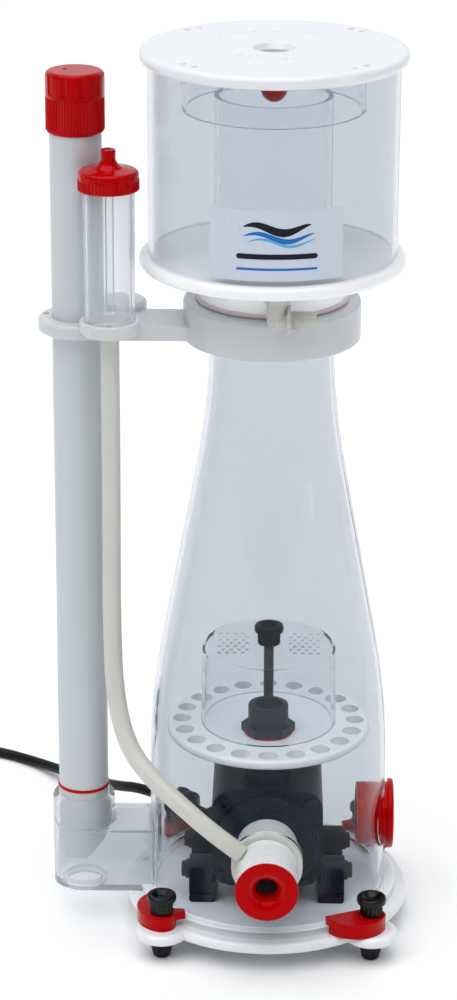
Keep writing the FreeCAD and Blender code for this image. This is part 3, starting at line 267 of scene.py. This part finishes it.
pump_slate = moulded("pump_slate", SLATE, 0.40, spread=0.05, grain=50.0, depth=0.000006,
                     darker=0.8, shine=0.2)
impeller_plastic = moulded("impeller_plastic", (0.03, 0.033, 0.036), 0.38)
magnet_grey = moulded("magnet", (0.03, 0.03, 0.033), 0.45, grain=200.0, depth=0.00002)
ceramic = moulded("ceramic", (0.86, 0.86, 0.84), 0.16)
pipe_grey = brushed_pipe("pipe_grey", (0.72, 0.74, 0.76), 0.26)
silicone = milky("silicone", (0.60, 0.605, 0.56), 0.34, 0.0, 0.5)
label_film = moulded("label_film", (0.56, 0.62, 0.72), 0.25, spread=0.03, coat=0.2, darker=0.98)
ink_dark = moulded("ink_dark", (0.003, 0.005, 0.015), 0.3, shine=0.2)
ink_blue = moulded("ink_blue", (0.006, 0.15, 0.50), 0.3, shine=0.2)
ink_pale = moulded("ink_pale", (0.10, 0.40, 0.70), 0.3, shine=0.2)
glue = milky("glue", (0.90, 0.92, 0.94), 0.18, 0.75, 0.2)

FINISHES = {
    "base_plate": white_pvc,
    # the cup floor's lighter white is a painted brightening for the light the lid keeps off it
    "cup_floor": cup_white_painted_light,
    "bubble_plate": white_pvc,
    "lid": lid_white,
    "outlet_pipe": pipe_white,
    "vessel": clear_body,
    "outlet_box": clear_box,
    "cup_wall": clear_cup,
    "riser_tube": clear_inner,
    "lid_skirt": clear_inner,
    "silencer_tube": clear_tube,
    "diffuser_dome": clear_dome,
    "silencer_air_tube": clear_inner,
    "neck_bracket": frosted,
    "drain_union": nylon,
    "drain_elbow": nylon,
    "silencer_barb": nylon,
    "air_nipple": nylon,
    "pipe_cap_sleeve": red_plastic,
    "pipe_cap_knob": red_plastic,
    "silencer_cap": red_plastic,
    "vent_plug": red_plastic,
    "intake_nozzle": red_plastic,
    "side_plug": red_plastic,
    "pipe_seal_ring": red_seal,
    "cup_o_rings": pink_seal,
    "side_plug_seal": red_seal,
    "outlet_gasket": red_seal,
    "base_seal": pale_seal,
    "diffuser_screw": black_plastic,
    "cord_gland": black_plastic,
    "rubber_feet": black_rubber,
    "pump_lug_bolts": black_rubber,
    "pump_lead": black_rubber,
    "power_plug": black_rubber,
    "motor_gland": black_rubber,
    "power_cord": black_rubber,
    "power_cord_coil": black_rubber,
    "pump_volute": pump_slate,
    "pump_front_cover": pump_slate,
    "pump_motor": pump_slate,
    "pump_stand": pump_slate,
    "pump_cover_screws": pump_slate,
    "outlet_nut": pump_slate,
    "impeller": impeller_plastic,
    "rotor_magnet": magnet_grey,
    "rotor_shaft": ceramic,
    "shaft_bushes": ceramic,
    "intake_pipe": pipe_grey,
    "air_hose": silicone,
    "intake_grommet": silicone,
    "cup_label": label_film,
}
CLAMPS = 4
for number in range(1, CLAMPS + 1):
    FINISHES["cam_clamp_%d" % number] = red_plastic
    FINISHES["clamp_screw_%d" % number] = black_plastic


for node_name, node in NODES.items():
    node.data.materials.clear()
    node.data.materials.append(FINISHES[node_name])


# ---------------------------------------------------------------- free hose and cord
HOSE_R = 5.9 * MM
HOLDER_Z0 = 393.5 * MM                # underside of the silencer's holder
SILENCER_X = -98.8 * MM
SILENCER_Y = -28.0 * MM
AIR_TILT = math.radians(38)           # the air nipple points up and to the left of the intake
AIR_DIR = Vector((-math.cos(AIR_TILT), 0.0, math.sin(AIR_TILT)))
INTAKE_CENTRE = Vector((0.0, -0.086, 0.057))
HOSE_END = INTAKE_CENTRE + AIR_DIR * 0.021
HOSE_ROUTE = [
    Vector((SILENCER_X, SILENCER_Y, HOLDER_Z0 - 0.0002)),
    Vector((-0.0986, -0.0283, 0.338)),
    Vector((-0.0988, -0.0288, 0.272)),
    Vector((-0.0990, -0.0315, 0.208)),
    Vector((-0.0974, -0.0400, 0.160)),
    Vector((-0.0896, -0.0530, 0.1295)),
    Vector((-0.0735, -0.0675, 0.1125)),
    Vector((-0.0535, -0.0785, 0.0985)),
    HOSE_END + AIR_DIR * 0.022,
    HOSE_END,
]

VESSEL_R = 0.0763                     # the vessel's outside, low down
CORD_R = 3.5 * MM
FLOOR = -13.0 * MM
LIE_GAP = 0.1 * MM                    # what lies on the floor stays this far above it
CORD_LIE = FLOOR + CORD_R + LIE_GAP
GLAND_ANGLE = math.radians(140)
GLAND_Z = 0.038
GLAND_DIR = Vector((math.cos(GLAND_ANGLE), math.sin(GLAND_ANGLE), 0.0))
GLAND_WALL = GLAND_DIR * VESSEL_R + Vector((0.0, 0.0, GLAND_Z))
COIL_X = -0.270
COIL_Y = 0.283
COIL_TURNS = 3
COIL_MID_R = 0.037
COIL_OUT_R = COIL_MID_R + COIL_TURNS * CORD_R
CORD_ROUTE = [
    GLAND_WALL + GLAND_DIR * 0.020,
    GLAND_WALL + GLAND_DIR * 0.036,
    Vector((-0.1015, 0.0880, 0.0315)),
    Vector((-0.1130, 0.1100, 0.0230)),
    Vector((-0.1220, 0.1340, 0.0130)),
    Vector((-0.1325, 0.1590, 0.0045)),
    Vector((-0.1465, 0.1850, -0.0040)),
    Vector((-0.1680, 0.2110, CORD_LIE)),
    Vector((-0.2000, 0.2300, CORD_LIE)),
    Vector((-0.2340, COIL_Y - COIL_OUT_R - 0.0005, CORD_LIE)),
    Vector((COIL_X + 0.006, COIL_Y - COIL_OUT_R, CORD_LIE)),
]
TURN_POINTS = 16                      # control points in one turn of the coil
CLIMB_AHEAD = 0.45                    # the climb starts this part of a turn before the inner end
CLIMB_TURNS = 0.6
PLUG_TURN = math.radians(190)
PLUG_TAIL = 0.020
PLUG_HALF_H = 0.0068


def coil_route():
    """Control points: a flat spiral inward on the floor, then one outward on top of it."""
    pitch = 2 * CORD_R
    outward = 1 / math.cos(math.pi / TURN_POINTS)
    leave = math.radians(-90) - (PLUG_TURN - 2 * math.pi)
    steps = 2 * COIL_TURNS * TURN_POINTS + round(leave / (2 * math.pi) * TURN_POINTS)
    points = []
    for i in range(1, steps + 1):
        turn = i / TURN_POINTS
        angle = math.radians(-90) - 2 * math.pi * turn
        inward = min(turn, COIL_TURNS)
        back = min(max(turn - COIL_TURNS, 0.0), COIL_TURNS)
        r = (COIL_OUT_R - pitch * (inward - back)) * outward
        rise = min(max((turn - COIL_TURNS + CLIMB_AHEAD) / CLIMB_TURNS, 0.0), 1.0)
        x = COIL_X + r * math.cos(angle)
        y = COIL_Y + r * math.sin(angle)
        points.append(Vector((x, y, CORD_LIE + pitch * rise)))
    return points


def smooth_cord(name, route, radius, material):
    data = bpy.data.curves.new(name, "CURVE")
    data.dimensions = "3D"
    data.bevel_depth = radius
    data.bevel_resolution = 6
    data.resolution_u = 10
    data.use_fill_caps = True
    spline = data.splines.new("NURBS")
    spline.points.add(len(route) - 1)
    for point, place in zip(spline.points, route):
        point.co = (*place, 1.0)
    spline.order_u = 3
    spline.use_endpoint_u = True
    data.materials.append(material)
    cord = bpy.data.objects.new(name, data)
    bpy.context.scene.collection.objects.link(cord)
    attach(cord, "body")
    return cord


plug_place = Vector((COIL_X, COIL_Y, FLOOR + PLUG_HALF_H + LIE_GAP))
plug_leave = Vector((math.cos(PLUG_TURN), math.sin(PLUG_TURN), 0.0)) * COIL_OUT_R
plug_way = Vector((math.sin(PLUG_TURN), -math.cos(PLUG_TURN), 0.0))
coil_points = coil_route()
tail = [
    plug_place + plug_leave + plug_way * PLUG_TAIL * 0.55 + Vector((0.0, 0.0, 0.003)),
    plug_place + plug_leave + plug_way * PLUG_TAIL,
    plug_place + plug_leave + plug_way * (PLUG_TAIL + 0.006),
]

hose = smooth_cord("hose_line", HOSE_ROUTE, HOSE_R, silicone)
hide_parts("air_hose")

cord = smooth_cord("cord_line", CORD_ROUTE + coil_points + tail, CORD_R, black_rubber)
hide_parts("power_cord", "power_cord_coil")


# ---------------------------------------------------------------- label and lid markings
def link_mesh(name, verts, faces, material, body, smooth=True):
    mesh = bpy.data.meshes.new(name)
    mesh.from_pydata(verts, [], faces)
    mesh.update()
    bm = bmesh.new()
    bm.from_mesh(mesh)
    bmesh.ops.recalc_face_normals(bm, faces=bm.faces)
    bm.to_mesh(mesh)
    bm.free()
    for polygon in mesh.polygons:
        polygon.use_smooth = smooth
    mesh.materials.append(material)
    piece = bpy.data.objects.new(name, mesh)
    bpy.context.scene.collection.objects.link(piece)
    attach(piece, body)
    return piece


CUP_R = 0.0765
LABEL_FACE = CUP_R + 0.00027          # the label's outer face
LABEL_MIDDLE = math.radians(-90 + 2)
INK_LIFT = 0.00002
INK_THICK = 0.00005
INK_EDGE = 0.00002                    # half the ribbon's height where it ends


def on_label(across, z, lift):
    """A point on the label: across in metres to the right of its middle, seen from outside."""
    angle = LABEL_MIDDLE + across / LABEL_FACE
    r = LABEL_FACE + lift
    return (r * math.cos(angle), r * math.sin(angle), z)


def ink_ribbon(name, spans, material):
    """A printed ribbon on the label through spans of (across, z low, z high)."""
    verts = []
    for across, low, high in spans:
        for lift in (INK_LIFT, INK_LIFT + INK_THICK):
            verts.append(on_label(across, low, lift))
            verts.append(on_label(across, high, lift))
    faces = []
    for i in range(len(spans) - 1):
        a = 4 * i
        b = a + 4
        faces += [(a, a + 1, b + 1, b), (a + 2, b + 2, b + 3, a + 3)]
        faces += [(a, b, b + 2, a + 2), (a + 1, a + 3, b + 3, b + 1)]
    last = 4 * (len(spans) - 1)
    faces += [(0, 2, 3, 1), (last, last + 1, last + 3, last + 2)]
    return link_mesh(name, verts, faces, material, "cup", smooth=False)


def wave_spans(left, right, z, swing, thick, phase):
    """A rolling wave that thins out at both ends."""
    spans = []
    steps = 48
    for i in range(steps + 1):
        t = i / steps
        across = left + (right - left) * t
        middle = z + swing * math.sin(2 * math.pi * t * 1.15 + phase)
        half = thick / 2 * math.sin(math.pi * t) ** 0.7 + INK_EDGE
        spans.append((across, middle - half, middle + half))
    return spans


def rule_spans(left, right, z, thick):
    """A straight printed bar with round ends."""
    spans = []
    steps = 24
    end = thick / 2
    for i in range(steps + 1):
        across = left + (right - left) * (1 - math.cos(math.pi * i / steps)) / 2
        room = min(across - left, right - across, end)
        half = math.sqrt(max(end * end - (end - room) ** 2, 0.0)) + INK_EDGE
        spans.append((across, z - half, z + half))
    return spans


ink_ribbon("label_wave_dark", wave_spans(-0.0205, 0.0205, 0.4735, 0.0024, 0.0050, 0.4), ink_dark)
ink_ribbon("label_wave_blue", wave_spans(-0.0205, 0.0225, 0.4682, 0.0024, 0.0032, 0.2), ink_blue)
ink_ribbon("label_wave_pale", wave_spans(-0.0180, 0.0235, 0.4650, 0.0022, 0.0018, 0.1), ink_pale)
ink_ribbon("label_rule_dark", rule_spans(-0.0245, 0.0245, 0.4565, 0.0032), ink_dark)
ink_ribbon("label_rule_blue", rule_spans(-0.0245, 0.0245, 0.4488, 0.0014), ink_blue)


LID_TOP = 0.5646
BAR_SUNK = 0.0001                     # the bars' feet stand this deep in the lid
LID_ARCS = (                          # ring radius, middle and half spread in degrees, bars
    (0.046, 90, 58, 15),
    (0.030, -90, 44, 9),
)


def add_bar(verts, faces, ring_r, angle, length, width, height, z):
    """A low raised bar with a bevelled top, bent round a circle about the vessel's axis."""
    rows = 6
    profile = [(-0.5, 0.0), (-0.5, 0.6), (-0.32, 1.0), (0.32, 1.0), (0.5, 0.6), (0.5, 0.0)]
    base = len(verts)
    count = len(profile)
    for i in range(rows + 1):
        t = i / rows - 0.5
        a = angle + t * length / ring_r
        taper = 1.0 if 0 < i < rows else 0.6
        for across, up in profile:
            r = ring_r + across * width * taper
            verts.append((r * math.cos(a), r * math.sin(a), z - BAR_SUNK + up * height * taper))
    for i in range(rows):
        for k in range(count):
            a = base + i * count + k
            b = base + i * count + (k + 1) % count
            faces.append((a, b, b + count, a + count))
    faces.append(tuple(base + k for k in range(count)))
    faces.append(tuple(base + rows * count + k for k in range(count)))


def make_lid_marks():
    """Plain raised bars where a maker's moulded lettering would be."""
    verts = []
    faces = []
    for ring_r, middle, half, count in LID_ARCS:
        for i in range(count):
            degrees = middle - half + 2 * half * i / (count - 1)
            length = 0.0042 if i % 3 else 0.0026
            add_bar(verts, faces, ring_r, math.radians(degrees), length, 0.0042, 0.0005, LID_TOP)
    return link_mesh("lid_marks", verts, faces, lid_white, "lid", smooth=False)


make_lid_marks()


# ---------------------------------------------------------------- glue beads on the outlet box
def bead(name, route, radius):
    """An uneven bead of clear glue laid along a joint."""
    verts = []
    faces = []
    sides = 8
    steps = 26
    for i in range(steps + 1):
        t = i / steps * (len(route) - 1)
        leg = min(int(t), len(route) - 2)
        place = route[leg].lerp(route[leg + 1], t - leg)
        along = (route[leg + 1] - route[leg]).normalized()
        side = along.orthogonal().normalized()
        other = along.cross(side)
        swell = 0.75 + 0.5 * random.random()
        thin = 0.3 if i in (0, steps) else 1.0
        for k in range(sides):
            angle = 2 * math.pi * k / sides
            r = radius * swell * thin
            verts.append(place + (side * math.cos(angle) + other * math.sin(angle)) * r)
    for i in range(steps):
        for k in range(sides):
            a = i * sides + k
            b = i * sides + (k + 1) % sides
            faces.append((a, b, b + sides, a + sides))
    faces.append(tuple(range(sides)))
    faces.append(tuple(steps * sides + k for k in range(sides)))
    return link_mesh(name, verts, faces, glue, "body")


DUCT_HALF = 0.020
DUCT_TOP = 0.052
PIPE_X = -0.120
SOCKET_R = 0.020


def make_beads():
    """Beads along the outlet box's two edges and its top on the vessel, and round the socket."""
    wall_x = -math.sqrt((VESSEL_R + 0.0004) ** 2 - DUCT_HALF ** 2)
    for side, word in ((-1, "front"), (1, "rear")):
        y = side * (DUCT_HALF + 0.0004)
        low = Vector((wall_x, y, 0.016))
        high = Vector((wall_x, y, DUCT_TOP))
        bead("glue_%s" % word, [low, high], 0.0008)
    top = []
    for i in range(9):
        angle = math.radians(180 - 15 + 30 * i / 8)
        r = VESSEL_R + 0.0005
        top.append(Vector((r * math.cos(angle), r * math.sin(angle), DUCT_TOP + 0.0004)))
    bead("glue_top", top, 0.0009)
    around = []
    for i in range(13):
        angle = math.radians(-88 + 176 * i / 12)
        r = SOCKET_R + 0.0004
        around.append(Vector((PIPE_X + r * math.cos(angle), r * math.sin(angle), DUCT_TOP + 0.0004)))
    bead("glue_socket", around, 0.0008)


make_beads()


# ---------------------------------------------------------------- lights and floor
def make_floor():
    material, tree, shader = new_material("floor_paper")
    cloud = add_range(tree, add_noise(tree, 1.2, 2.0), 0.0, 1.0)
    tint = add_mix(tree, cloud, (0.93, 0.935, 0.94), (0.95, 0.955, 0.96))
    tree.links.new(tint, shader.inputs["Base Color"])
    shader.inputs["Roughness"].default_value = 0.6
    add_bump(tree, shader, add_noise(tree, 300.0, 3.0), 0.00002)
    half = 9.0
    z = FLOOR
    mesh = bpy.data.meshes.new("floor")
    corners = [(-half, -half, z), (half, -half, z), (half, half, z), (-half, half, z)]
    mesh.from_pydata(corners, [], [(0, 1, 2, 3)])
    mesh.materials.append(material)
    floor = bpy.data.objects.new("floor", mesh)
    bpy.context.scene.collection.objects.link(floor)


def soft_box(name, place, aim, width, height, power, colour=(1.0, 1.0, 1.0)):
    data = bpy.data.lights.new(name, "AREA")
    data.shape = "RECTANGLE"
    data.size = width
    data.size_y = height
    data.energy = power
    data.color = colour
    lamp = bpy.data.objects.new(name, data)
    bpy.context.scene.collection.objects.link(lamp)
    lamp.location = place
    lamp.rotation_mode = "QUATERNION"
    lamp.rotation_quaternion = (Vector(aim) - Vector(place)).to_track_quat("-Z", "Y")
    return lamp


def make_world():
    """A dim room with a white backdrop behind the object."""
    world = bpy.data.worlds.new("studio")
    world.use_nodes = True
    tree = world.node_tree
    background = tree.nodes["Background"]
    background.inputs["Color"].default_value = (0.94, 0.97, 1.0, 1.0)
    way = tree.nodes.new("ShaderNodeTexCoord")
    split = tree.nodes.new("ShaderNodeSeparateXYZ")
    glow = tree.nodes.new("ShaderNodeMapRange")
    glow.inputs["From Min"].default_value = 0.0
    glow.inputs["From Max"].default_value = 0.6
    glow.inputs["To Min"].default_value = 0.10
    glow.inputs["To Max"].default_value = 0.72
    tree.links.new(way.outputs["Generated"], split.inputs["Vector"])
    tree.links.new(split.outputs["Y"], glow.inputs["Value"])
    tree.links.new(glow.outputs["Result"], background.inputs["Strength"])
    bpy.context.scene.world = world


def wide_sun(name, way, strength, spread):
    data = bpy.data.lights.new(name, "SUN")
    data.energy = strength
    data.angle = math.radians(spread)
    lamp = bpy.data.objects.new(name, data)
    bpy.context.scene.collection.objects.link(lamp)
    lamp.rotation_mode = "QUATERNION"
    lamp.rotation_quaternion = Vector(way).to_track_quat("-Z", "Y")
    return lamp


MIDDLE = (0.0, 0.0, 0.28)             # what the two strip lamps are aimed at

make_floor()
make_world()
wide_sun("sky_panel", (0.14, 0.24, -1.0), 2.9, 70.0)
soft_box("left_box", (-2.0, -1.6, 1.2), MIDDLE, 0.35, 1.8, 5.0)
soft_box("right_box", (2.1, -1.1, 1.0), MIDDLE, 0.30, 1.8, 6.0)

scene = bpy.context.scene
scene.view_settings.view_transform = "Standard"
scene.view_settings.look = "None"
scene.cycles.max_bounces = 24
scene.cycles.transmission_bounces = 20
scene.cycles.transparent_max_bounces = 32
scene.cycles.caustics_reflective = False
